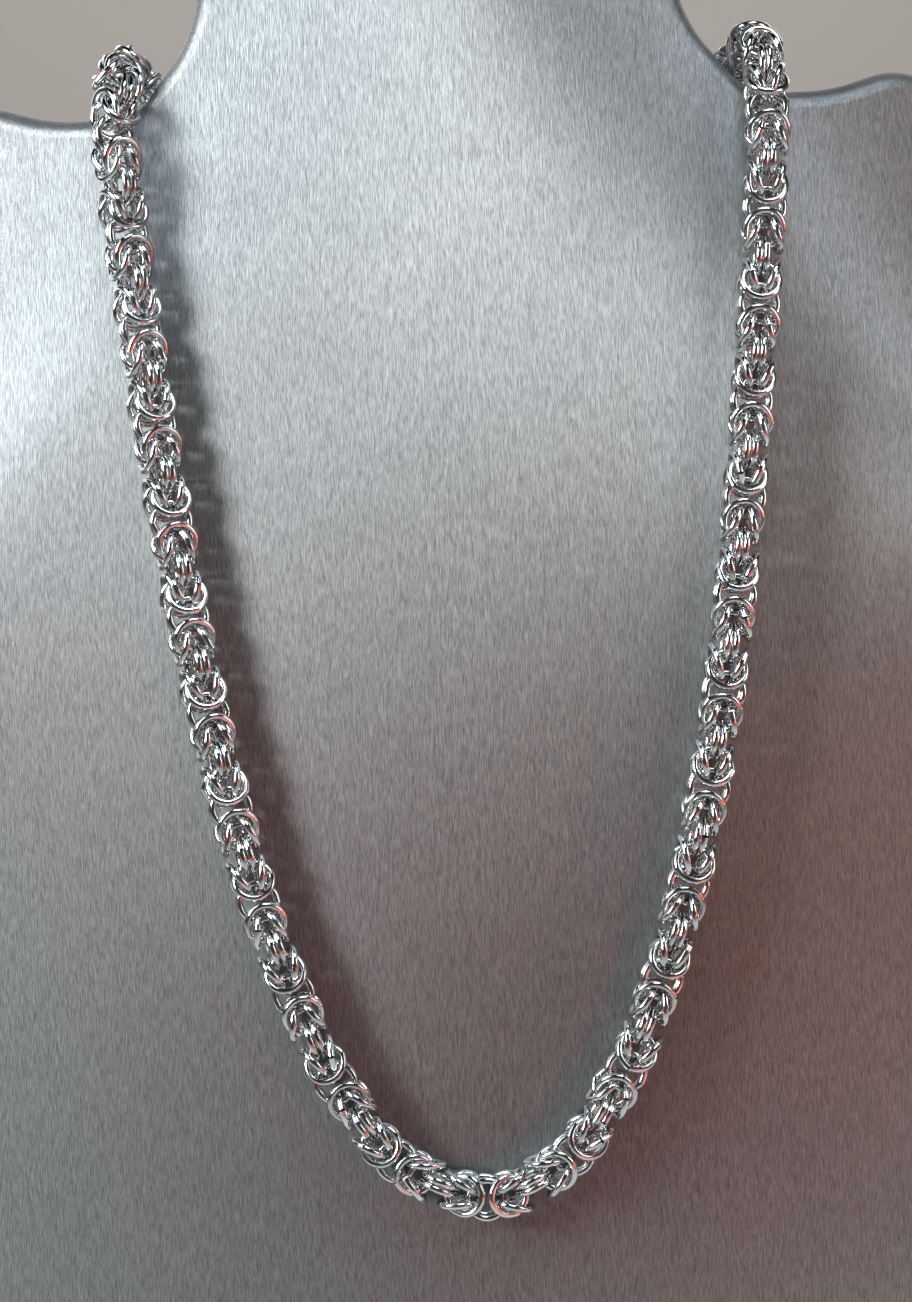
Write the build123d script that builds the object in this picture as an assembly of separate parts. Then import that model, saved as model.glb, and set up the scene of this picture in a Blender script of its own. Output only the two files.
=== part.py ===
from build123d import *
import os
from math import ceil, cos, sin, tan, radians, sqrt, pi
import numpy as np

# A chainmail necklace of round wire rings in the four-in-two box weave
# often called Byzantine, hanging on a plain leaning neck bust.
#
# Millimetres, +Z up, the front faces -Y. The origin is the middle of the
# bust's foot, on the surface that it stands on. Everything is first laid out
# upright, with "height" measured along the chest from its foot and "depth"
# measured back from the chest's foremost line, and then leaned back.

# Bust
lean = 16.0              # how far the chest leans back from upright, degrees
foot_depth = 146.0       # front of the foot to the flat back, along the floor
neck_top = 320.0         # height of the neck's flat top
shoulder_height = 266.2  # height of the dip between the neck and each shoulder
shoulder_rise = 1.0      # how much higher the dip's outer end is
shoulder_lift = 11.8     # how much higher the shoulder's outer corner is
shoulder_reach = 110.5   # half width over the chest and shoulders
neck_reach = 45.5        # half width of the neck at its top
flare_taper = 3.5        # how much wider the neck is above its flare, each side
flare_height = 16.3      # height of that flare
neck_flare = 17.0        # how much wider the neck is below its flare, each side
dip_width = 17.5         # width of the dip's bottom
chest_round = 300.0      # radius of the front, seen from above
neck_depth = 54.0        # neck, front to back
neck_root = 62.0         # half width where the round back of the neck starts
neck_start = 26.0        # depth where it starts
shoulder_sweep = 0.5     # how much deeper the shoulders get for each millimetre further out
slope_height = 256.0     # height where the slope behind the shoulders starts, at that depth
slope_angle = 35.0       # how steeply it falls towards the back, degrees
edge_round = 4.0         # radius of the edge all round the front
shoulder_round = 16.0    # radii of the front outline, from the shoulders' corners to the neck
dip_round = 40.0
root_round = 9.0
neck_round = 30.0
back_round = 14.0        # radius of the back's upright edges and of the edge above it

# Rings of the chain
wire = 1.45              # wire that the rings are wound from
bore = 5.95              # inside diameter of a ring
air = 0.12               # air between the wires of two rings
loose_boxes = 20         # boxes of the weave on each side, in front, that are made as loose rings
weave_reach = 4.75       # a stretched box is this many ring radii long,
weave_give = 4.95        # less this many times the wire and its air
box_lean = 22.0          # how far the rings of a box lean outwards, degrees
box_offset = 1.95        # middle of a box ring, off the chain's middle
box_shift = 0.33         # middle of a box ring, off the box's middle
settling_steps = 220

# How the chain lies
seat = 0.35              # air between the chain and the bust
chain_reach = 4.5        # from the middle of the chain to its outside
left_roll = 42.0         # roll of the chain at the left shoulder, none at its lowest point, degrees
roll_share = 0.385       # share of the route, from its lowest point, over which that roll builds up
route_step = 0.5         # how finely the route is measured

# The chain's route, from its lowest point up one side and round the back of
# the neck. On the chest a row is across and height, and the depth follows the
# surface. Past that a row is how far outside the neck's side and above the
# shoulders it lies, and its depth as a share of the neck's depth.
chest_points = [(0.0, 45.2), (14.5, 51.0), (25.3, 64.0), (34.0, 81.0), (41.5, 101.0), (48.2, 127.0),
                (53.9, 157.0), (58.3, 189.0), (61.9, 220.0), (64.4, 242.5)]
neck_points = [(20.0, -1.2, -0.03), (19.3, 12.8, 0.21), (17.7, 10.3, 0.52), (11.5, 8.3, 0.80),
               (-0.5, 7.3, 0.97), (-15.0, 7.3, 1.07)]
end_above = 7.3          # the chain's ends, behind the neck, above the shoulders
end_behind = 5.4         # and behind the neck

# Clasp behind the neck, closed, and the ring at each side that it holds
clasp_length = 22.0
clasp_width = 8.0
clasp_thickness = 2.2
clasp_round = 0.7
eye_bore = 3.6
eye_wall = 1.2           # metal between an eye and the clasp's end
end_ring_wire = 1.5
end_ring_bore = 6.0

# Sizes that follow from those above
ring_radius = (bore + wire) / 2
end_ring_radius = (end_ring_bore + end_ring_wire) / 2
end_height = shoulder_height + end_above
end_depth = neck_depth + end_behind
longest_pitch = weave_reach * ring_radius - weave_give * (wire + air)
eye_place = (clasp_length - eye_bore) / 2 - eye_wall
end_ring_place = eye_place + end_ring_radius - (eye_bore - end_ring_wire) / 4
chain_end = end_ring_place + end_ring_radius + ring_radius - (end_ring_wire + wire) / 2 - air


# Bust
def front_outline():
    """The bust seen from the front, as a face in the upright plane."""
    below = -foot_depth * sin(radians(lean))
    corners = [(shoulder_reach, below), (shoulder_reach, shoulder_height + shoulder_lift),
               (neck_reach + neck_flare + dip_width, shoulder_height + shoulder_rise),
               (neck_reach + neck_flare, shoulder_height),
               (neck_reach + flare_taper, shoulder_height + flare_height), (neck_reach, neck_top)]
    right = Plane.XZ * FilletPolyline(*corners, radius=[shoulder_round, dip_round, root_round, neck_round])
    left = mirror(right, Plane.YZ)
    return make_face([right, left, Line(right @ 0, left @ 0), Line(right @ 1, left @ 1)])


def behind_neck():
    """What is left open behind the neck and the shoulders, above the slope."""
    wide = 2 * shoulder_reach
    far = neck_start + shoulder_sweep * (wide - neck_root)
    back = ThreePointArc((-neck_root, neck_start), (0, neck_depth), (neck_root, neck_start))
    corners = [(neck_root, neck_start), (wide, far), (wide, 2 * far)]
    outside = Polyline(*corners, *[(-across, depth) for across, depth in corners[::-1]])
    column = extrude(make_face([back, outside]), 2 * neck_top)
    below = Rot(-slope_angle, 0, 0) * Pos(0, 0, -neck_top) * Box(2 * wide, 8 * foot_depth, 2 * neck_top)
    return column - Pos(0, neck_start, slope_height) * below


def stand(shape):
    """Leans a shape back and puts the middle of the foot at the origin."""
    return Pos(0, -foot_depth / 2, 0) * Rot(-lean, 0, 0) * shape


def make_bust():
    front = Pos(0, chest_round, 0) * Cylinder(chest_round, 4 * neck_top)
    upright = extrude(front_outline(), 2 * foot_depth, both=True) & front
    floor = Pos(0, 0, -neck_top) * Box(4 * shoulder_reach, 6 * foot_depth, 2 * neck_top)
    behind = Pos(0, 2.5 * foot_depth, 0) * Box(4 * shoulder_reach, 4 * foot_depth, 3 * neck_top)
    bust = stand(upright - behind_neck()) - floor - behind
    chest = bust.faces().filter_by(GeomType.CYLINDER).sort_by(SortBy.AREA)[-1]
    bust = fillet(chest.edges().filter_by(lambda edge: edge.center().Z > edge_round), edge_round)
    bust = fillet(bust.edges().filter_by(Axis.Z), back_round)
    above_back = bust.edges().filter_by(Axis.X).group_by(Axis.Y)[-1].sort_by(Axis.Z)[-1]
    return fillet(above_back, back_round)


# Route
def chest_depth(across):
    """Depth of the chest's front surface."""
    return chest_round - sqrt(chest_round ** 2 - across ** 2)


def side_route(side, end=chain_end):
    """The route's points on one side, from the lowest point to the back of the neck."""
    lift = seat + chain_reach
    on_chest = [(side * across, chest_depth(across) - lift, height) for across, height in chest_points]
    round_neck = [(side * (neck_reach + outside), share * neck_depth, shoulder_height + above)
                  for outside, above, share in neck_points]
    return [Vector(*point) for point in on_chest + round_neck + [(side * end, end_depth, end_height)]]


def smooth_route():
    """The whole route from end to end: a parabola at each point, from middle to middle of its runs."""
    points = side_route(-1)[:0:-1] + side_route(1)
    middles = [(a + b) / 2 for a, b in zip(points, points[1:])]
    middles[0] = points[0]
    middles[-1] = points[-1]
    spans = [Bezier(start, point, end) for start, point, end in zip(middles, points[1:], middles[1:])]
    return Wire(spans)


# Weave
def unit(vectors):
    return vectors / np.linalg.norm(vectors, axis=-1, keepdims=True)


def straight_rings(boxes, pitch):
    """Middles and axes of the rings of a straight chain along +Z, with connector 0 at the origin.

    Two upright connecting rings start each box. The box holds two pairs of rings that lean
    outwards and pass through each other, and each box is turned a quarter round from the last.
    """
    lean_sin = sin(radians(box_lean))
    lean_cos = cos(radians(box_lean))
    sides = np.eye(3)[:2]
    up = np.eye(3)[2]
    middles = []
    axes = []
    for box in boxes:
        along = sides[box % 2]
        aside = sides[(box + 1) % 2]
        start = box * pitch * up
        centre = start + pitch / 2 * up
        for side in (-1, 1):
            middles.append(start + side * (wire + air) / 2 * aside)
            axes.append(aside)
            middles.append(centre + side * box_offset * along + box_shift * up)
            axes.append(lean_cos * along - side * lean_sin * up)
            middles.append(centre + side * box_offset * aside - box_shift * up)
            axes.append(lean_cos * aside + side * lean_sin * up)
    return np.array(middles), np.array(axes)


def route_frames(route):
    """Points along the route with the directions across it, out of it and along it."""
    count = int(route.length / route_step)
    along = unit(np.array([tuple(route % (i / count)) for i in range(count + 1)]))
    points = np.array([tuple(route @ (i / count)) for i in range(count + 1)])
    out = np.zeros_like(along)
    out[count // 2] = (0.0, -1.0, 0.0)
    for step, stop in ((1, count + 1), (-1, -1)):
        for i in range(count // 2 + step, stop, step):
            last = out[i - step]
            out[i] = unit(last - (last @ along[i]) * along[i])
    return points, np.cross(along, out), out, along


def lay_rings(middles, axes, route):
    """Bends a straight chain along the route, rolled as it hangs."""
    points, across, out, along = route_frames(route)
    stations = (middles[:, 2] / route.length + 0.5) * (len(points) - 1)
    nearest = np.clip(np.rint(stations).astype(int), 0, len(points) - 1)
    part_way = ((stations - nearest) * route.length / (len(points) - 1))[:, None]
    climb = np.clip(-middles[:, 2] / (roll_share * route.length), 0, 1)
    roll = radians(left_roll) * climb
    side_x = np.cos(roll)[:, None] * across[nearest] + np.sin(roll)[:, None] * out[nearest]
    side_y = np.cos(roll)[:, None] * out[nearest] - np.sin(roll)[:, None] * across[nearest]
    laid = points[nearest] + part_way * along[nearest] + middles[:, :1] * side_x + middles[:, 1:2] * side_y
    turned = axes[:, :1] * side_x + axes[:, 1:2] * side_y + axes[:, 2:] * along[nearest]
    return laid, unit(turned)


def lift_off_chest(middles, axes, rims, swing):
    """How far to shift and turn each ring so that its deepest point clears the chest."""
    wires = middles[:, None] + rims
    limit = chest_round - np.sqrt(chest_round ** 2 - wires[..., 0] ** 2) - wire / 2 - seat
    sunk = wires[..., 1] - limit
    rows = np.arange(len(middles))
    spot = sunk.argmax(axis=1)
    push = np.array((0.0, -1.0, 0.0))
    lever = np.cross(rims[rows, spot], push)
    amount = (np.clip(sunk[rows, spot], 0, None) / (1 + swing * (lever ** 2).sum(axis=1)))[:, None]
    return amount * push, swing * amount * lever


def settle(middles, axes):
    """Nudges the rings until every two wires, and each wire and the chest, have air between them."""
    need = wire + air
    first, second = np.triu_indices(len(middles), 1)
    close = np.linalg.norm(middles[first] - middles[second], axis=1) < 2 * ring_radius + need
    first, second = first[close], second[close]
    turns = np.linspace(0, 2 * pi, 64, endpoint=False)[:, None]
    for _ in range(settling_steps):
        spoke = unit(np.cross(axes, np.roll(axes, 1, axis=1) + (0.1, 0.2, 0.3)))[:, None]
        other = np.cross(axes[:, None], spoke)
        rims = ring_radius * (np.cos(turns) * spoke + np.sin(turns) * other)
        reach = rims[first] + (middles[first] - middles[second])[:, None]
        rise = (reach * axes[second][:, None]).sum(axis=2, keepdims=True)
        facing = ring_radius * unit(reach - rise * axes[second][:, None])
        gap = reach - facing
        apart = np.linalg.norm(gap, axis=2)
        rows = np.arange(len(first))
        spot = apart.argmin(axis=1)
        short = need - apart[rows, spot]
        tight = short > 0
        if not tight.any():
            break
        push = unit(gap[rows, spot])
        lever_first = np.cross(rims[first, spot], push)
        lever_second = np.cross(facing[rows, spot], push)
        swing = 2 / ring_radius ** 2
        give = 2 + swing * ((lever_first ** 2).sum(axis=1) + (lever_second ** 2).sum(axis=1))
        amount = (np.where(tight, short, 0) / give)[:, None]
        shift, turn = lift_off_chest(middles, axes, rims, swing)
        np.add.at(shift, first, amount * push)
        np.add.at(shift, second, -amount * push)
        np.add.at(turn, first, swing * amount * lever_first)
        np.add.at(turn, second, -swing * amount * lever_second)
        middles = middles + shift
        axes = unit(axes + np.cross(turn, axes))
    return middles, axes


def make_rings(middles, axes):
    ring = Solid.make_torus(ring_radius, wire / 2)
    places = [Plane(origin=tuple(middle), z_dir=tuple(axis)) for middle, axis in zip(middles, axes)]
    return Compound(children=[place.location * ring for place in places])


def make_back_chain(side, route, pitch):
    """The stretch past the loose rings, left plain: a tube of straight runs and tangent arcs."""
    rings_end = loose_boxes * pitch + (ring_radius + wire / 2 + seat if side < 0 else 0)
    start = route @ (0.5 + side * rings_end / route.length)
    end = end_ring_place + end_ring_radius + end_ring_wire / 2 + seat
    points = [start] + [point for point in side_route(side, end) if point.Z > start.Z + chain_reach]
    runs = [b - a for a, b in zip(points, points[1:])]
    turns = [radians(a.get_angle(b)) for a, b in zip(runs, runs[1:])]
    radii = [0.45 * min(a.length, b.length) / tan(turn / 2) for a, b, turn in zip(runs, runs[1:], turns)]
    path = FilletPolyline(*points, radius=radii)
    tube = sweep(Plane(origin=path @ 0, z_dir=path % 0) * Circle(chain_reach), path=path)
    print("tube radii", [round(radius, 1) for radius in radii])
    print("tube volume", tube.volume, "section times length", pi * chain_reach ** 2 * path.length)
    return tube


# Clasp and end rings
def make_clasp():
    plate = extrude(SlotOverall(clasp_length, clasp_width), clasp_thickness / 2, both=True)
    plate = fillet(plate.edges(), clasp_round)
    for side in (-1, 1):
        plate -= Pos(side * eye_place, 0, 0) * Cylinder(eye_bore / 2, 2 * clasp_thickness)
    return Pos(0, end_depth, end_height) * Rot(90, 0, 0) * plate


def make_end_ring(side):
    place = Pos(side * end_ring_place, end_depth, end_height)
    return place * Solid.make_torus(end_ring_radius, end_ring_wire / 2)


def save(name, shape):
    print(name, len(shape.solids()), "solids", round(shape.volume, 1), "mm3")
    export_step(shape, "parts/" + name + ".step")


os.makedirs("parts", exist_ok=True)
route = smooth_route()
boxes_per_side = 2 * ceil(route.length / (4 * longest_pitch))
pitch = route.length / (2 * boxes_per_side)
print("loop", round(route.length + 2 * chain_end, 1), "boxes", 2 * boxes_per_side, "pitch", round(pitch, 3))
middles, axes = settle(*lay_rings(*straight_rings(range(-loose_boxes, loose_boxes), pitch), route))
half = len(middles) // 2

save("bust", make_bust())
save("chain_left", stand(make_rings(middles[:half], axes[:half])))
save("chain_right", stand(make_rings(middles[half:], axes[half:])))
for side, word in ((-1, "left"), (1, "right")):
    save("chain_back_" + word, stand(make_back_chain(side, route, pitch)))
    save("end_ring_" + word, stand(make_end_ring(side)))
save("clasp", stand(make_clasp()))
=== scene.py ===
# %% [markdown]
# # A chainmail necklace on a neck bust
#
# The necklace is a rope of about four hundred round steel rings, linked four
# into two in the box weave often called Byzantine. It hangs on a plain display
# bust that leans back a little. The bust, the clasp and its two end rings come
# with the frame at their real place. The rings are built here, because each of
# them needs its own cut, its own small tilt and a polish that shows.

# %% Load the frame
from math import cos, degrees, pi, radians, sin, sqrt, tan

import bpy
import numpy as np
from mathutils import Matrix, Vector
from mathutils.bvhtree import BVHTree


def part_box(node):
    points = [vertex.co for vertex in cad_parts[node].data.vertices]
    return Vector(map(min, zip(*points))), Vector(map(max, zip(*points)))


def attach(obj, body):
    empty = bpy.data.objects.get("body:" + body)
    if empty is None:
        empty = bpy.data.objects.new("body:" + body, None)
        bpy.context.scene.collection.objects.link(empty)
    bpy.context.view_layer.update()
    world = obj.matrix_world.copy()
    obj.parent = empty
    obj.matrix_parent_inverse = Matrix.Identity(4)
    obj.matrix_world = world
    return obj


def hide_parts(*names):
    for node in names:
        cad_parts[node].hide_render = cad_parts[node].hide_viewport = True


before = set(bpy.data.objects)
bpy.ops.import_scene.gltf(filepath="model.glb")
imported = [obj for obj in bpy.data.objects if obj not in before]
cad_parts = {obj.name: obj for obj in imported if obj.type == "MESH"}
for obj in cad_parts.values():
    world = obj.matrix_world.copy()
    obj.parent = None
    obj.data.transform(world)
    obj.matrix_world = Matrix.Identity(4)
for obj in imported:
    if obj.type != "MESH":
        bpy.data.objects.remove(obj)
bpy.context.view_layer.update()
MM = 0.001
print("nodes:", ", ".join(sorted(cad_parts)))

# %% [markdown]
# ## Where the chain runs
#
# A chain of rings follows one smooth line: up over the chest, over the
# shoulder and round the back of the neck to the clasp. The line could be drawn
# by hand, or dropped in a simulation. Here it is a short list of points, the
# same ones that the frame was made from, and a NURBS curve runs smoothly near
# them. On the chest a row gives, in millimetres, how far across and how high it
# lies, and the depth follows the bust's curve. Past the chest a row gives the
# distance outside the neck's side and the height above the shoulders, both in
# millimetres, and the depth as a share of the neck's depth.

# %% The bust's sizes that the route follows
lean = radians(16.0)
foot_depth = 146.0 * MM
shoulder_height = 266.2 * MM
neck_reach = 45.5 * MM
neck_depth = 54.0 * MM
chest_round = 300.0 * MM
upright_to_world = Matrix.Translation((0, -foot_depth / 2, 0)) @ Matrix.Rotation(-lean, 4, "X")
print("the bust leans back by", round(degrees(lean), 1), "degrees")

# %% The rings' sizes
wire = 1.45 * MM
bore = 5.95 * MM
air = 0.12 * MM  # kept between two wires
seat = 0.35 * MM  # kept between a wire and the bust
chain_reach = 4.5 * MM  # from the rope's middle to its outside
ring_radius = (bore + wire) / 2
boxes_per_side = 34
front_boxes = 20
box_lean = radians(22.0)
box_offset = 1.95 * MM
box_shift = 0.33 * MM
left_roll = radians(42.0)
roll_share = 0.385  # of the route's length, over which the roll grows
print("ring, mm:", round((bore + 2 * wire) / MM, 2), "over wire of", round(wire / MM, 2))

# %% The route's points
chest_points = [(0.0, 45.2), (14.5, 51.0), (25.3, 64.0), (34.0, 81.0), (41.5, 101.0), (48.2, 127.0),
                (53.9, 157.0), (58.3, 189.0), (61.9, 220.0), (64.4, 242.5)]
neck_points = [(20.0, -1.2, -0.03), (19.3, 12.8, 0.21), (17.7, 10.3, 0.52), (11.5, 8.3, 0.80),
               (-0.5, 7.3, 0.97), (-15.0, 7.3, 1.07)]
end_ring_middle = (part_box("end_ring_right")[0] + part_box("end_ring_right")[1]) / 2
end_ring_reach = (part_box("end_ring_right")[1].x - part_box("end_ring_right")[0].x) / 2
end_ring_wire = 1.5 * MM
end_across = end_ring_middle.x + end_ring_reach + ring_radius - end_ring_wire - wire / 2 - air
end_above = 7.3 * MM
end_behind = 5.4 * MM


def side_points(side):
    """The route on one side, from the lowest point to the clasp, with the bust upright."""
    points = []
    for across, height in chest_points:
        depth = chest_round - sqrt(chest_round ** 2 - (across * MM) ** 2) - seat - chain_reach
        points.append((side * across * MM, depth, height * MM))
    for outside, above, share in neck_points:
        across = neck_reach + outside * MM
        points.append((side * across, share * neck_depth, shoulder_height + above * MM))
    points.append((side * end_across, neck_depth + end_behind, shoulder_height + end_above))
    return points


route_points = side_points(-1)[:0:-1] + side_points(1)
print(len(route_points), "points on the route")

# %% One smooth line near them
steps_per_point = 40

spline_data = bpy.data.curves.new("route", "CURVE")
spline_data.dimensions = "3D"
spline_data.resolution_u = steps_per_point
spline = spline_data.splines.new("NURBS")
spline.points.add(len(route_points) - 1)
for point, place in zip(spline.points, route_points):
    point.co = (*(upright_to_world @ Vector(place)), 1)
spline.order_u = 3
spline.use_endpoint_u = True
route_curve = bpy.data.objects.new("route", spline_data)
route_mesh = bpy.data.meshes.new_from_object(route_curve)
route = np.array([vertex.co for vertex in route_mesh.vertices])
bpy.data.objects.remove(route_curve)
bpy.data.curves.remove(spline_data)
bpy.data.meshes.remove(route_mesh)
if route[0, 0] > route[-1, 0]:
    route = route[::-1]
travelled = np.concatenate([[0], np.cumsum(np.linalg.norm(np.diff(route, axis=0), axis=1))])
route_length = travelled[-1]
pitch = route_length / (2 * boxes_per_side)
print("route, mm:", round(route_length / MM, 1), "one box, mm:", round(pitch / MM, 3))

# %% [markdown]
# ## The weave
#
# Each box of the weave is six rings: two upright connecting rings side by
# side, then a pair folded outwards, then a pair folded back the other way
# through it. The next box is turned a quarter round. A straight chain is laid
# out first, since a formula gives every ring's middle and axis, and then it is
# bent along the route, with a frame that is carried along the line so that the
# rope never twists by itself. The left side hangs rolled over, as ropes do.

# %% A straight chain
def unit(vectors):
    return vectors / np.linalg.norm(vectors, axis=-1, keepdims=True)


def straight_rings(boxes):
    """Middles and axes of the rings along +Z, with connecting rings of box 0 at the origin."""
    sides = np.eye(3)[:2]
    up = np.eye(3)[2]
    middles = []
    axes = []
    for box in boxes:
        along = sides[box % 2]
        aside = sides[(box + 1) % 2]
        start = box * pitch * up
        centre = start + pitch / 2 * up
        for side in (-1, 1):
            middles.append(start + side * (wire + air) / 2 * aside)
            axes.append(aside)
            if box < boxes_per_side:
                middles.append(centre + side * box_offset * along + box_shift * up)
                axes.append(cos(box_lean) * along - side * sin(box_lean) * up)
                middles.append(centre + side * box_offset * aside - box_shift * up)
                axes.append(cos(box_lean) * aside + side * sin(box_lean) * up)
    return np.array(middles), np.array(axes)


straight_middles, straight_axes = straight_rings(range(-boxes_per_side, boxes_per_side + 1))
print(len(straight_middles), "rings in a straight chain")

# %% Bent along the route
stations = 2001


def carried_frames(points):
    """Directions across, out of and along the line, carried from its lowest point without twist."""
    along = unit(np.gradient(points, axis=0))
    out = np.zeros_like(along)
    lowest = len(points) // 2
    start = np.array(upright_to_world.to_3x3() @ Vector((0, -1, 0)))
    out[lowest] = unit(start - (start @ along[lowest]) * along[lowest])
    for step, stop in ((1, len(points)), (-1, -1)):
        for i in range(lowest + step, stop, step):
            last = out[i - step]
            out[i] = unit(last - (last @ along[i]) * along[i])
    return np.cross(along, out), out, along


def lay_rings(middles, axes):
    """Bends the straight chain along the route."""
    even = np.linspace(0, route_length, stations)
    points = np.stack([np.interp(even, travelled, route[:, i]) for i in range(3)], axis=1)
    across, out, along = carried_frames(points)
    station = (middles[:, 2] / route_length + 0.5) * (stations - 1)
    nearest = np.clip(np.rint(station).astype(int), 0, stations - 1)
    part_way = ((station - nearest) * route_length / (stations - 1))[:, None]
    roll = left_roll * np.clip(-middles[:, 2] / (roll_share * route_length), 0, 1)
    side_x = np.cos(roll)[:, None] * across[nearest] + np.sin(roll)[:, None] * out[nearest]
    side_y = np.cos(roll)[:, None] * out[nearest] - np.sin(roll)[:, None] * across[nearest]
    centre = points[nearest] + part_way * along[nearest]
    laid = centre + middles[:, :1] * side_x + middles[:, 1:2] * side_y
    turned = axes[:, :1] * side_x + axes[:, 1:2] * side_y + axes[:, 2:] * along[nearest]
    return laid, unit(turned)


middles, axes = lay_rings(straight_middles, straight_axes)
print(len(middles), "rings laid along the route")

# %% [markdown]
# ## Loosening and settling
#
# A real rope of rings is never perfectly even: every ring rocks in its
# neighbours, most of all at the lowest point, where nothing pulls it straight.
# So each ring gets a small seeded nudge. Then the rings settle: wherever two
# wires come too close, both rings are pushed and turned apart a little, and
# wherever a wire would sink into the bust it is lifted off. The nudge is given
# in a few small steps with settling after each, because one large step could
# carry a wire through its neighbour and change the weave. A physics simulation
# could do this too, but four hundred linked rings make it slow and jumpy, and
# this short loop gives the same answer every time.

# %% A nudge for each ring
jostle_seed = 11
arm_shift = 0.15 * MM
arm_tilt = radians(4.5)
low_shift = 0.45 * MM
low_tilt = radians(13.0)
low_reach = 60.0 * MM  # along the chain, over which the low nudge fades
largest_draw = 1.2

random = np.random.default_rng(jostle_seed)
lowness = np.exp(-(straight_middles[:, 2] / low_reach) ** 2)[:, None]
shift_size = arm_shift + (low_shift - arm_shift) * lowness
tilt_size = arm_tilt + (low_tilt - arm_tilt) * lowness
shifts = np.clip(random.normal(size=middles.shape), -largest_draw, largest_draw)
turns = np.clip(random.normal(size=axes.shape), -largest_draw, largest_draw)
print("to nudge by up to", round(float(shift_size.max()) * largest_draw / MM, 2), "mm a direction")

# %% Points round each wire
rim_points = 64
off_axis = (0.1, 0.2, 0.3)  # keeps a direction across the ring from lying along its axis
rim_angles = np.linspace(0, 2 * pi, rim_points, endpoint=False)[:, None]
print("each wire is tested at", rim_points, "points")


def rims_of(axes):
    """Points round each ring's wire, measured from its middle."""
    spoke = unit(np.cross(axes, np.roll(axes, 1, axis=1) + off_axis))[:, None]
    other = np.cross(axes[:, None], spoke)
    return ring_radius * (np.cos(rim_angles) * spoke + np.sin(rim_angles) * other)


# %% What the rings must stay clear of
bust_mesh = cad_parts["bust"].data
bust_corners = [vertex.co for vertex in bust_mesh.vertices]
bust_tree = BVHTree.FromPolygons(bust_corners, [face.vertices for face in bust_mesh.polygons])
touch_every = 5  # rim points, as the bust is smooth
swing = 2 / ring_radius ** 2  # how easily a thin ring turns, compared with how easily it shifts
print("the bust's mesh has", len(bust_mesh.polygons), "faces")


def lift_off_bust(middles, rims):
    """How far to shift and turn each ring so that its deepest point clears the bust."""
    shift = np.zeros_like(middles)
    turn = np.zeros_like(middles)
    for i, middle in enumerate(middles):
        deepest = 0
        for rim in rims[i, ::touch_every]:
            point = Vector(middle + rim)
            place, normal, _, _ = bust_tree.find_nearest(point)
            sunk = wire / 2 + seat - (point - place).dot(normal)
            if sunk > deepest:
                deepest = sunk
                lever = np.cross(rim, normal)
                give = 1 + swing * (lever @ lever)
                shift[i] = sunk / give * np.array(normal)
                turn[i] = swing * sunk / give * lever
    return shift, turn


# %% Push apart, turn, lift, again
nudges = 8
settling_steps = 30
lift_each = 4  # steps


def settle(middles, axes, steps):
    """Moves and turns the rings so that two wires, or a wire and the bust, have air between them."""
    need = wire + air
    first, second = np.triu_indices(len(middles), 1)
    close = np.linalg.norm(middles[first] - middles[second], axis=1) < 2 * ring_radius + 2 * need
    first, second = first[close], second[close]
    rows = np.arange(len(first))
    for step in range(steps):
        rims = rims_of(axes)
        reach = rims[first] + (middles[first] - middles[second])[:, None]
        rise = (reach * axes[second][:, None]).sum(axis=2, keepdims=True)
        facing = ring_radius * unit(reach - rise * axes[second][:, None])
        gap = reach - facing
        apart = np.linalg.norm(gap, axis=2)
        spot = apart.argmin(axis=1)
        short = np.clip(need - apart[rows, spot], 0, None)
        push = unit(gap[rows, spot])
        lever_first = np.cross(rims[first, spot], push)
        lever_second = np.cross(facing[rows, spot], push)
        give = 2 + swing * ((lever_first ** 2).sum(axis=1) + (lever_second ** 2).sum(axis=1))
        amount = (short / give)[:, None]
        shift = np.zeros_like(middles)
        turn = np.zeros_like(middles)
        if step % lift_each == 0:
            shift, turn = lift_off_bust(middles, rims)
        np.add.at(shift, first, amount * push)
        np.add.at(shift, second, -amount * push)
        np.add.at(turn, first, swing * amount * lever_first)
        np.add.at(turn, second, -swing * amount * lever_second)
        middles = middles + shift
        axes = unit(axes + np.cross(turn, axes))
    return middles, axes, float(apart.min() - wire)


for _ in range(nudges):
    middles = middles + shift_size / nudges * shifts
    axes = unit(axes + np.cross(tilt_size / nudges * turns, axes))
    middles, axes, closest = settle(middles, axes, settling_steps)
print("closest two wires, mm:", round(closest / MM, 3))

# %% [markdown]
# ## The rings themselves
#
# A jump ring is a length of wire bent round and cut, so it is an arc that
# nearly closes, and the cut shows as a hairline. Geometry Nodes make it once,
# with few faces, and set it on every point of a small mesh that holds the
# rings' middles. Each point carries its ring's axis, and a random turn about
# that axis puts the cuts all round the rope. The cut ends get a crease, so
# that the Subdivision Surface that finishes the piece rounds the wire and
# leaves the ends flat.

# %% Sizes of the ring that the nodes make
ring_sections = 13
wire_sides = 6
cut_width = 0.10 * MM
# Subdividing draws a coarse circle inwards. These are the shares that are left.
ring_shrink = (2 + cos(2 * pi / (ring_sections - 1))) / 3
wire_shrink = (2 + cos(2 * pi / wire_sides)) / 3
print("faces in a ring before rounding:", (ring_sections - 1) * wire_sides + 2)

# %% A helper for nodes
def add_node(tree, kind, inputs=(), **settings):
    """A new node with its settings and its inputs' values, given as (name or number, value)."""
    node = tree.nodes.new(kind)
    for name, value in settings.items():
        setattr(node, name, value)
    for socket, value in inputs:
        node.inputs[socket].default_value = value
    return node


# %% The tree of nodes
largest_float = 3  # the Random Value node's input for the largest number
random_float = 1  # and its output for a number that isn't whole


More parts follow.
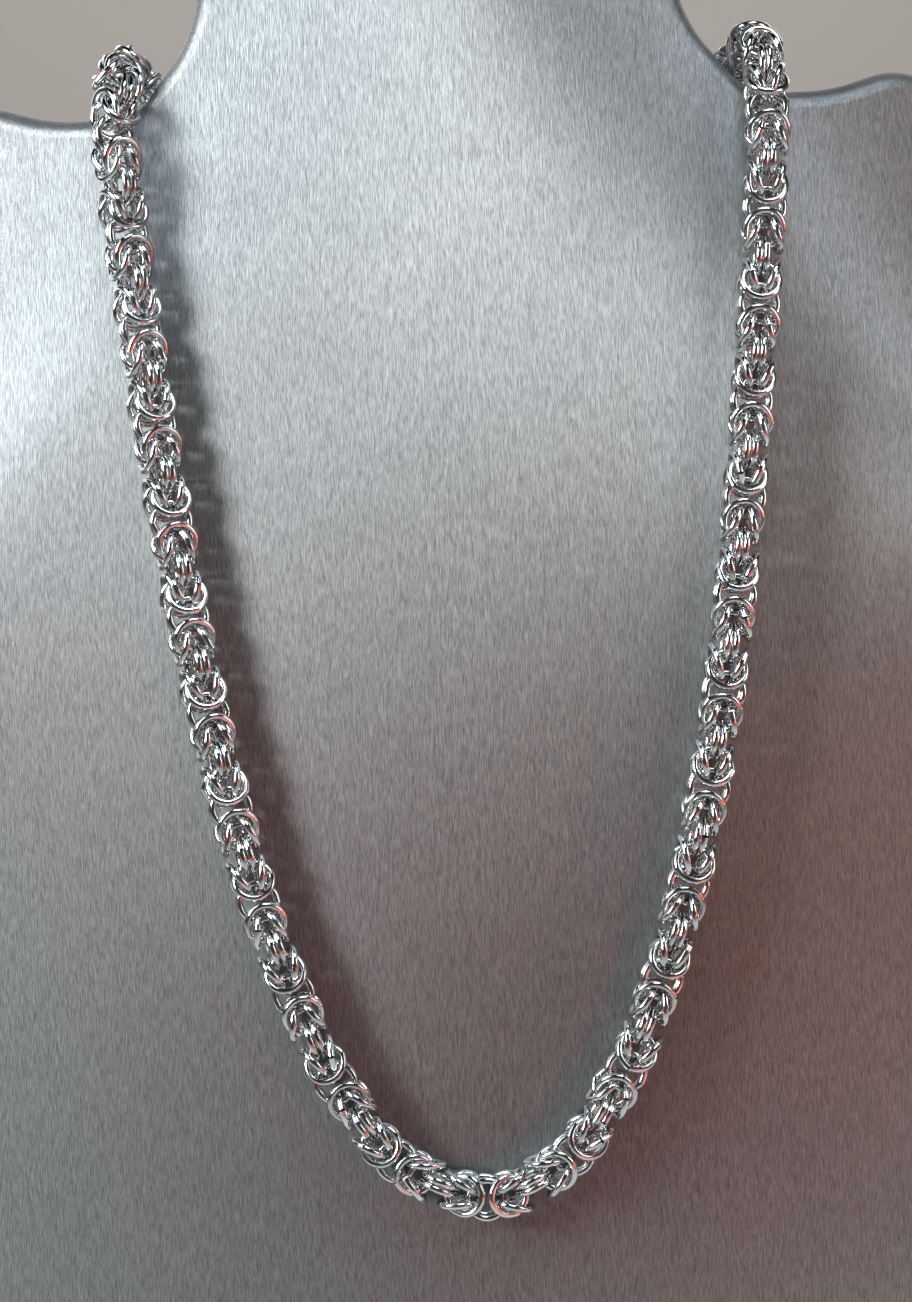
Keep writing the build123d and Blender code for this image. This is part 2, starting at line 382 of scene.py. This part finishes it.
def make_ring_tree():
    """Points in, round cut rings out, each turned to its point's axis."""
    tree = bpy.data.node_groups.new("jump_rings", "GeometryNodeTree")
    tree.interface.new_socket("Points", in_out="INPUT", socket_type="NodeSocketGeometry")
    for name in ("Ring Radius", "Wire Radius", "Cut Angle"):
        tree.interface.new_socket(name, in_out="INPUT", socket_type="NodeSocketFloat")
    tree.interface.new_socket("Seed", in_out="INPUT", socket_type="NodeSocketInt")
    tree.interface.new_socket("Material", in_out="INPUT", socket_type="NodeSocketMaterial")
    tree.interface.new_socket("Rings", in_out="OUTPUT", socket_type="NodeSocketGeometry")
    link = tree.links.new
    given = add_node(tree, "NodeGroupInput")
    made = add_node(tree, "NodeGroupOutput")

    # One cut ring, an arc swept by the wire's section
    sweep = add_node(tree, "ShaderNodeMath", [(0, 2 * pi)], operation="SUBTRACT")
    link(given.outputs["Cut Angle"], sweep.inputs[1])
    arc = add_node(tree, "GeometryNodeCurveArc", [("Resolution", ring_sections)], mode="RADIUS")
    link(given.outputs["Ring Radius"], arc.inputs["Radius"])
    link(sweep.outputs[0], arc.inputs["Sweep Angle"])
    section = add_node(tree, "GeometryNodeCurvePrimitiveCircle", [("Resolution", wire_sides)],
                       mode="RADIUS")
    link(given.outputs["Wire Radius"], section.inputs["Radius"])
    ring = add_node(tree, "GeometryNodeCurveToMesh", [("Fill Caps", True)])
    link(arc.outputs["Curve"], ring.inputs["Curve"])
    link(section.outputs["Curve"], ring.inputs["Profile Curve"])

    # A crease round the cut ends, the only faces with more than four corners
    corners = add_node(tree, "GeometryNodeInputMeshFaceNeighbors")
    is_end = add_node(tree, "FunctionNodeCompare", [("B", 4)],
                      data_type="INT", operation="GREATER_THAN")
    link(corners.outputs["Vertex Count"], is_end.inputs["A"])
    crease = add_node(tree, "GeometryNodeStoreNamedAttribute", [("Name", "crease_edge")],
                      data_type="FLOAT", domain="EDGE")
    link(ring.outputs["Mesh"], crease.inputs["Geometry"])
    link(is_end.outputs["Result"], crease.inputs["Value"])

    # The ring on every point, turned to the point's axis and spun about it
    axis = add_node(tree, "GeometryNodeInputNamedAttribute", [("Name", "ring_axis")],
                    data_type="FLOAT_VECTOR")
    face_axis = add_node(tree, "FunctionNodeAlignRotationToVector", axis="Z")
    link(axis.outputs["Attribute"], face_axis.inputs["Vector"])
    turn = add_node(tree, "FunctionNodeRandomValue", [(largest_float, 2 * pi)], data_type="FLOAT")
    link(given.outputs["Seed"], turn.inputs["Seed"])
    spin = add_node(tree, "FunctionNodeAxisAngleToRotation", [("Axis", (0, 0, 1))])
    link(turn.outputs[random_float], spin.inputs["Angle"])
    place = add_node(tree, "FunctionNodeRotateRotation", rotation_space="LOCAL")
    link(face_axis.outputs["Rotation"], place.inputs["Rotation"])
    link(spin.outputs["Rotation"], place.inputs["Rotate By"])
    copies = add_node(tree, "GeometryNodeInstanceOnPoints")
    link(given.outputs["Points"], copies.inputs["Points"])
    link(crease.outputs["Geometry"], copies.inputs["Instance"])
    link(place.outputs["Rotation"], copies.inputs["Rotation"])

    # A tone for each ring, then one real mesh with its material
    tone = add_node(tree, "FunctionNodeRandomValue", data_type="FLOAT")
    link(given.outputs["Seed"], tone.inputs["Seed"])
    toned = add_node(tree, "GeometryNodeStoreNamedAttribute", [("Name", "ring_tone")],
                     data_type="FLOAT", domain="INSTANCE")
    link(copies.outputs["Instances"], toned.inputs["Geometry"])
    link(tone.outputs[random_float], toned.inputs["Value"])
    real = add_node(tree, "GeometryNodeRealizeInstances")
    link(toned.outputs["Geometry"], real.inputs["Geometry"])
    smooth = add_node(tree, "GeometryNodeSetShadeSmooth")
    link(real.outputs["Geometry"], smooth.inputs["Geometry"])
    finish = add_node(tree, "GeometryNodeSetMaterial")
    link(smooth.outputs["Geometry"], finish.inputs["Geometry"])
    link(given.outputs["Material"], finish.inputs["Material"])
    link(finish.outputs["Geometry"], made.inputs["Rings"])
    return tree


ring_tree = make_ring_tree()
print("the tree has", len(ring_tree.nodes), "nodes")

# %% [markdown]
# ## Finishes
#
# The rings are bright steel wire: a metal with a high polish, faint marks from
# drawing and handling, and a slightly different tone from ring to ring. The
# bust is covered in a silvery leatherette with fine upright streaks, as if
# brushed, and a shallow grain. A brushed surface spreads its shine across the
# streaks and keeps it narrow along them. Streaks fine enough to do that by
# themselves would be too small for the picture, so the shader's Anisotropic
# value does it, with a tangent that runs up the front. Both finishes use the
# same soft patches of wear, so that is a node group of its own.

# %% Patches of wear, shared by the finishes
def make_patches_group():
    """Soft noise of a given size, spread between a low and a high value."""
    group = bpy.data.node_groups.new("soft_patches", "ShaderNodeTree")
    group.interface.new_socket("Size", in_out="INPUT", socket_type="NodeSocketFloat")
    group.interface.new_socket("Low", in_out="INPUT", socket_type="NodeSocketFloat")
    group.interface.new_socket("High", in_out="INPUT", socket_type="NodeSocketFloat")
    group.interface.new_socket("Value", in_out="OUTPUT", socket_type="NodeSocketFloat")
    given = add_node(group, "NodeGroupInput")
    made = add_node(group, "NodeGroupOutput")
    place = add_node(group, "ShaderNodeTexCoord")
    per_metre = add_node(group, "ShaderNodeMath", [(0, 1.0)], operation="DIVIDE")
    noise = add_node(group, "ShaderNodeTexNoise", [("Detail", 3.0), ("Roughness", 0.55)])
    spread = add_node(group, "ShaderNodeMapRange", [("From Min", 0.3), ("From Max", 0.7)])
    group.links.new(given.outputs["Size"], per_metre.inputs[1])
    group.links.new(place.outputs["Object"], noise.inputs["Vector"])
    group.links.new(per_metre.outputs[0], noise.inputs["Scale"])
    group.links.new(noise.outputs["Fac"], spread.inputs["Value"])
    group.links.new(given.outputs["Low"], spread.inputs["To Min"])
    group.links.new(given.outputs["High"], spread.inputs["To Max"])
    group.links.new(spread.outputs["Result"], made.inputs["Value"])
    return group


patches_group = make_patches_group()
print("the patches are made by", len(patches_group.nodes), "nodes")


def add_patches(tree, size, low, high):
    """The patches in a material's tree, ready to feed a socket."""
    node = add_node(tree, "ShaderNodeGroup", node_tree=patches_group)
    node.inputs["Size"].default_value = size
    node.inputs["Low"].default_value = low
    node.inputs["High"].default_value = high
    return node.outputs["Value"]


def new_material(name):
    material = bpy.data.materials.new(name)
    material.use_nodes = True
    return material, material.node_tree, material.node_tree.nodes["Principled BSDF"]


# %% Polished steel
dull_steel = (0.66, 0.65, 0.64, 1)
bright_steel = (0.86, 0.86, 0.86, 1)
polish_patches = 1.6 * MM
mark_size = 0.25 * MM


def make_steel():
    """Bright wire, with a tone that each ring carries and faint fine marks."""
    material, tree, shader = new_material("polished_steel")
    shader.inputs["Metallic"].default_value = 1.0
    tone = add_node(tree, "ShaderNodeAttribute", attribute_name="ring_tone")
    colour = add_node(tree, "ShaderNodeValToRGB")
    colour.color_ramp.elements[0].color = dull_steel
    colour.color_ramp.elements[1].color = bright_steel
    tree.links.new(tone.outputs["Fac"], colour.inputs["Fac"])
    tree.links.new(colour.outputs["Color"], shader.inputs["Base Color"])
    tree.links.new(add_patches(tree, polish_patches, 0.08, 0.20), shader.inputs["Roughness"])
    place = add_node(tree, "ShaderNodeTexCoord")
    marks = add_node(tree, "ShaderNodeTexNoise", [("Scale", 1 / mark_size), ("Detail", 2.0)])
    bump = add_node(tree, "ShaderNodeBump", [("Strength", 0.12), ("Distance", 0.02 * MM)])
    tree.links.new(place.outputs["Object"], marks.inputs["Vector"])
    tree.links.new(marks.outputs["Fac"], bump.inputs["Height"])
    tree.links.new(bump.outputs["Normal"], shader.inputs["Normal"])
    return material


steel = make_steel()
print(steel.name, "has", len(steel.node_tree.nodes), "nodes")

# %% Brushed leatherette
streak_width = 0.20 * MM
streak_length = 2.4 * MM
dark_streak = (0.25, 0.25, 0.25, 1)
pale_streak = (0.55, 0.55, 0.55, 1)
leather_patches = 18 * MM


def make_leatherette():
    """A silvery film with upright streaks, which spreads its shine sideways."""
    material, tree, shader = new_material("brushed_leatherette")
    shader.inputs["Metallic"].default_value = 0.85
    shader.inputs["Anisotropic"].default_value = 0.85
    shader.inputs["Anisotropic Rotation"].default_value = 0.25
    upwards = add_node(tree, "ShaderNodeTangent", direction_type="RADIAL", axis="X")
    tree.links.new(upwards.outputs["Tangent"], shader.inputs["Tangent"])
    place = add_node(tree, "ShaderNodeTexCoord")
    brushed = add_node(tree, "ShaderNodeMapping", vector_type="TEXTURE")
    brushed.inputs["Rotation"].default_value = (-lean, 0, 0)
    brushed.inputs["Scale"].default_value = (streak_width, streak_width, streak_length)
    streaks = add_node(tree, "ShaderNodeTexNoise",
                       [("Scale", 1.0), ("Detail", 3.0), ("Roughness", 0.65)])
    tree.links.new(place.outputs["Object"], brushed.inputs["Vector"])
    tree.links.new(brushed.outputs["Vector"], streaks.inputs["Vector"])
    colour = add_node(tree, "ShaderNodeValToRGB")
    colour.color_ramp.elements[0].position = 0.3
    colour.color_ramp.elements[1].position = 0.7
    colour.color_ramp.elements[0].color = dark_streak
    colour.color_ramp.elements[1].color = pale_streak
    tree.links.new(streaks.outputs["Fac"], colour.inputs["Fac"])
    tree.links.new(colour.outputs["Color"], shader.inputs["Base Color"])
    tree.links.new(add_patches(tree, leather_patches, 0.58, 0.62), shader.inputs["Roughness"])
    bump = add_node(tree, "ShaderNodeBump", [("Strength", 1.0), ("Distance", 0.09 * MM)])
    tree.links.new(streaks.outputs["Fac"], bump.inputs["Height"])
    tree.links.new(bump.outputs["Normal"], shader.inputs["Normal"])
    return material


leatherette = make_leatherette()
print("finishes:", ", ".join(material.name for material in bpy.data.materials))

# %% [markdown]
# ## Setting the rings in place
#
# The rope is made in four pieces, two in front and two behind, because each
# stands for one solid of the frame. The points go in a small mesh, the tree
# runs on it, and the result is kept as a plain mesh.

# %% Run the tree on each stretch
cut_angle = cut_width / ring_radius
tree_values = {"Ring Radius": ring_radius / ring_shrink,
               "Wire Radius": wire / 2 / wire_shrink,
               "Cut Angle": cut_angle,
               "Material": steel}
print("the cut takes", round(degrees(cut_angle), 2), "degrees of a ring")


def make_rings(name, chosen, seed):
    """Rings at the chosen middles, as one plain mesh."""
    points = bpy.data.meshes.new(name + "_points")
    points.from_pydata(middles[chosen].tolist(), [], [])
    facing = points.attributes.new("ring_axis", "FLOAT_VECTOR", "POINT")
    facing.data.foreach_set("vector", axes[chosen].astype(np.float32).ravel())
    holder = bpy.data.objects.new(name + "_points", points)
    bpy.context.scene.collection.objects.link(holder)
    modifier = holder.modifiers.new("rings", "NODES")
    modifier.node_group = ring_tree
    items = ring_tree.interface.items_tree
    sockets = {item.name: item.identifier for item in items if item.in_out == "INPUT"}
    for socket, value in {**tree_values, "Seed": seed}.items():
        modifier[sockets[socket]] = value
    graph = bpy.context.evaluated_depsgraph_get()
    mesh = bpy.data.meshes.new_from_object(holder.evaluated_get(graph))
    holder.modifiers.remove(modifier)
    bpy.data.objects.remove(holder)
    bpy.data.meshes.remove(points)
    piece = bpy.data.objects.new(name, mesh)
    bpy.context.scene.collection.objects.link(piece)
    rounding = piece.modifiers.new("rounding", "SUBSURF")
    rounding.levels = 1
    rounding.render_levels = 1
    print(name, "has", int(chosen.sum()), "rings and", len(mesh.polygons), "faces before rounding")
    return piece


# %% Four stretches of the rope
# A cut lies a quarter of a box before the connecting rings of a box, so that it parts no box.
before_box = pitch / 4
lowest_cut = -before_box
right_cut = front_boxes * pitch - before_box
left_cut = -front_boxes * pitch - before_box
along_chain = straight_middles[:, 2]
stretches = [("rings_front_left", "chain_left", left_cut, lowest_cut),
             ("rings_front_right", "chain_right", lowest_cut, right_cut),
             ("rings_back_left", "chain_back_left", -route_length, left_cut),
             ("rings_back_right", "chain_back_right", right_cut, route_length)]
for seed, (name, node, start, stop) in enumerate(stretches):
    piece = make_rings(name, (along_chain > start) & (along_chain < stop), seed)
    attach(piece, "root")
    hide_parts(node)

# %% Finish on the pieces of the frame
def dress(name, material):
    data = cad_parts[name].data
    data.materials.clear()
    data.materials.append(material)
    print(name, "is", material.name)


dress("bust", leatherette)
for name in ("clasp", "end_ring_left", "end_ring_right"):
    dress(name, steel)

# %% [markdown]
# ## Floor and wall
#
# The bust stands on a plain pale floor that turns up into a pale round wall
# far behind it, so that every view has a quiet background.

# %% A pale floor with a round wall
wall_distance = 3.0
wall_height = 3.5
wall_bend = 0.8
around = 96
bend_steps = 12
paint_patches = 0.3


def make_backdrop():
    """A dish: a flat floor, a rounded bend and an upright wall, all facing inwards."""
    outline = [(0.0, 0.0), (wall_distance - wall_bend, 0.0)]
    for i in range(1, bend_steps + 1):
        angle = pi / 2 * i / bend_steps
        radius = wall_distance - wall_bend + wall_bend * sin(angle)
        outline.append((radius, wall_bend * (1 - cos(angle))))
    outline.append((wall_distance, wall_height))
    vertices = [(0, 0, 0)]
    faces = []
    for radius, height in outline[1:]:
        for i in range(around):
            angle = 2 * pi * i / around
            vertices.append((radius * cos(angle), radius * sin(angle), height))
    for i in range(around):
        after = (i + 1) % around
        faces.append((0, 1 + i, 1 + after))
        for row in range(len(outline) - 2):
            low = 1 + row * around
            faces.append((low + i, low + around + i, low + around + after, low + after))
    mesh = bpy.data.meshes.new("backdrop")
    mesh.from_pydata(vertices, [], faces)
    mesh.polygons.foreach_set("use_smooth", [True] * len(mesh.polygons))
    backdrop = bpy.data.objects.new("backdrop", mesh)
    bpy.context.scene.collection.objects.link(backdrop)
    return backdrop


backdrop = make_backdrop()
pale, pale_tree, pale_shader = new_material("pale_paint")
pale_shader.inputs["Base Color"].default_value = (0.72, 0.70, 0.67, 1)
pale_tree.links.new(add_patches(pale_tree, paint_patches, 0.75, 0.9), pale_shader.inputs["Roughness"])
backdrop.data.materials.append(pale)
print("backdrop of", len(backdrop.data.polygons), "faces")

# %% [markdown]
# ## Light
#
# Steel shows what stands around it, and so does the brushed leatherette. The
# main light is a cool window on the left, with a grid that keeps its light on
# the upper chest, so that the chest grows darker downwards and to the right.
# Small cool panels near it, at the right and above draw bright lines on the
# rings, and the dim room between them gives the blacks. A red and an orange
# panel low on the right warm that corner and give the copper glints. Two weak
# panels behind light the other views, and one lights the wall. A tone curve
# that is a little firmer than the plain one deepens the darks.

# %% Places round the chest
chest = Vector((0, 0, 155 * MM))


def round_chest(side, rise, distance, aim=Vector((0, 0, 0))):
    """A place so many degrees to the side of the chest's front and above it, and the way to the aim."""
    outwards = Vector((sin(radians(side)) * cos(radians(rise)),
                       -cos(radians(side)) * cos(radians(rise)),
                       sin(radians(rise))))
    place = upright_to_world @ (chest + distance * outwards)
    towards = upright_to_world.to_3x3() @ (aim - distance * outwards)
    return place, towards


print("the chest's middle is at", [round(value, 3) for value in upright_to_world @ chest])

# %% Area lights
narrow = radians(50)  # spread of a panel with a grid in front, which keeps its light together
watts_per_brightness = 4  # for a bare panel of one square metre


def kept_share(spread):
    """How much of a bare panel's light a grid of that spread lets out."""
    half = spread / 2
    return sin(half) ** 2 - (half - sin(spread) / 2) / tan(half)


def add_light(name, place, towards, size, radiance, colour, spread=pi):
    """A soft rectangular panel. Its size is its width and height, its radiance how bright it looks."""
    data = bpy.data.lights.new(name, "AREA")
    data.shape = "RECTANGLE"
    data.size, data.size_y = size
    data.energy = radiance * watts_per_brightness * size[0] * size[1] * kept_share(spread)
    data.color = colour
    data.spread = spread
    light = bpy.data.objects.new(name, data)
    bpy.context.scene.collection.objects.link(light)
    light.location = place
    light.rotation_mode = "QUATERNION"
    light.rotation_quaternion = towards.to_track_quat("-Z", "Y")
    light.visible_camera = False
    print(name, "light at", [round(value, 2) for value in place])


upper_chest = Vector((30 * MM, 0, 65 * MM))
to_window = round_chest(-57, 20, 0.90, upper_chest)
add_light("window", *to_window, (0.30, 0.40), 35.0, (0.93, 0.98, 1.0), narrow)
add_light("window_near", *round_chest(-60, 34, 0.25), (0.14, 0.14), 1.7, (0.70, 0.92, 1.0))
add_light("side", *round_chest(60, 14, 0.38), (0.12, 0.20), 2.5, (0.90, 1.0, 1.0))
add_light("above", *round_chest(20, 58, 0.55), (0.25, 0.20), 8.0, (0.75, 0.90, 1.0))
add_light("warm", *round_chest(38, -18, 0.90), (0.35, 0.25), 3.2, (1.0, 0.06, 0.03), narrow)
add_light("ember", *round_chest(75, -5, 0.60), (0.05, 0.14), 11.0, (1.0, 0.36, 0.14), narrow)
add_light("behind_left", *round_chest(-140, 35, 0.90), (0.6, 0.6), 1.2, (0.92, 0.96, 1.0))
add_light("behind_right", *round_chest(140, 35, 0.90), (0.6, 0.6), 0.9, (1.0, 0.96, 0.92))
add_light("wall_wash", (0, 1.0, 0.5), Vector((0, 1, 0.1)), (1.2, 0.8), 5.5, (1.0, 0.98, 0.96))

# %% A dim room and the tone curve
world = bpy.data.worlds.new("room")
world.use_nodes = True
world.node_tree.nodes["Background"].inputs["Color"].default_value = (0.90, 0.72, 0.74, 1)
world.node_tree.nodes["Background"].inputs["Strength"].default_value = 0.012
bpy.context.scene.world = world
bpy.context.scene.view_settings.view_transform = "Standard"
bpy.context.scene.view_settings.gamma = 0.88

# %% [markdown]
# ## Camera
#
# The camera looks straight at the chest, so it tips down by as much as the
# bust leans back, and it is turned a little about its own line of sight.

# %% Aim and framing
picture_height = 1302
pixels_per_mm = 5.0
picture_middle = (-1.5 * MM, 155.0 * MM)  # across and up the upright chest
picture_turn = radians(2.4)
camera_distance = 0.48
sensor = 36.0

camera_data = bpy.data.cameras.new("camera")
camera_data.sensor_width = sensor
camera_data.lens = sensor * camera_distance / (picture_height / pixels_per_mm * MM)
camera = bpy.data.objects.new("camera", camera_data)
bpy.context.scene.collection.objects.link(camera)
upright = upright_to_world.to_3x3()
sight = upright @ Vector((0, 1, 0))
chest_up = upright @ Vector((0, 0, 1))
target = upright_to_world @ Vector((picture_middle[0], 0, picture_middle[1]))
camera_up = chest_up * cos(picture_turn) + Vector((1, 0, 0)) * sin(picture_turn)
camera_right = sight.cross(camera_up)
camera.matrix_world = Matrix.Translation(target - sight * camera_distance) @ Matrix(
    (camera_right, camera_up, -sight)).transposed().to_4x4()
bpy.context.scene.camera = camera
print("lens, mm:", round(camera_data.lens, 1))
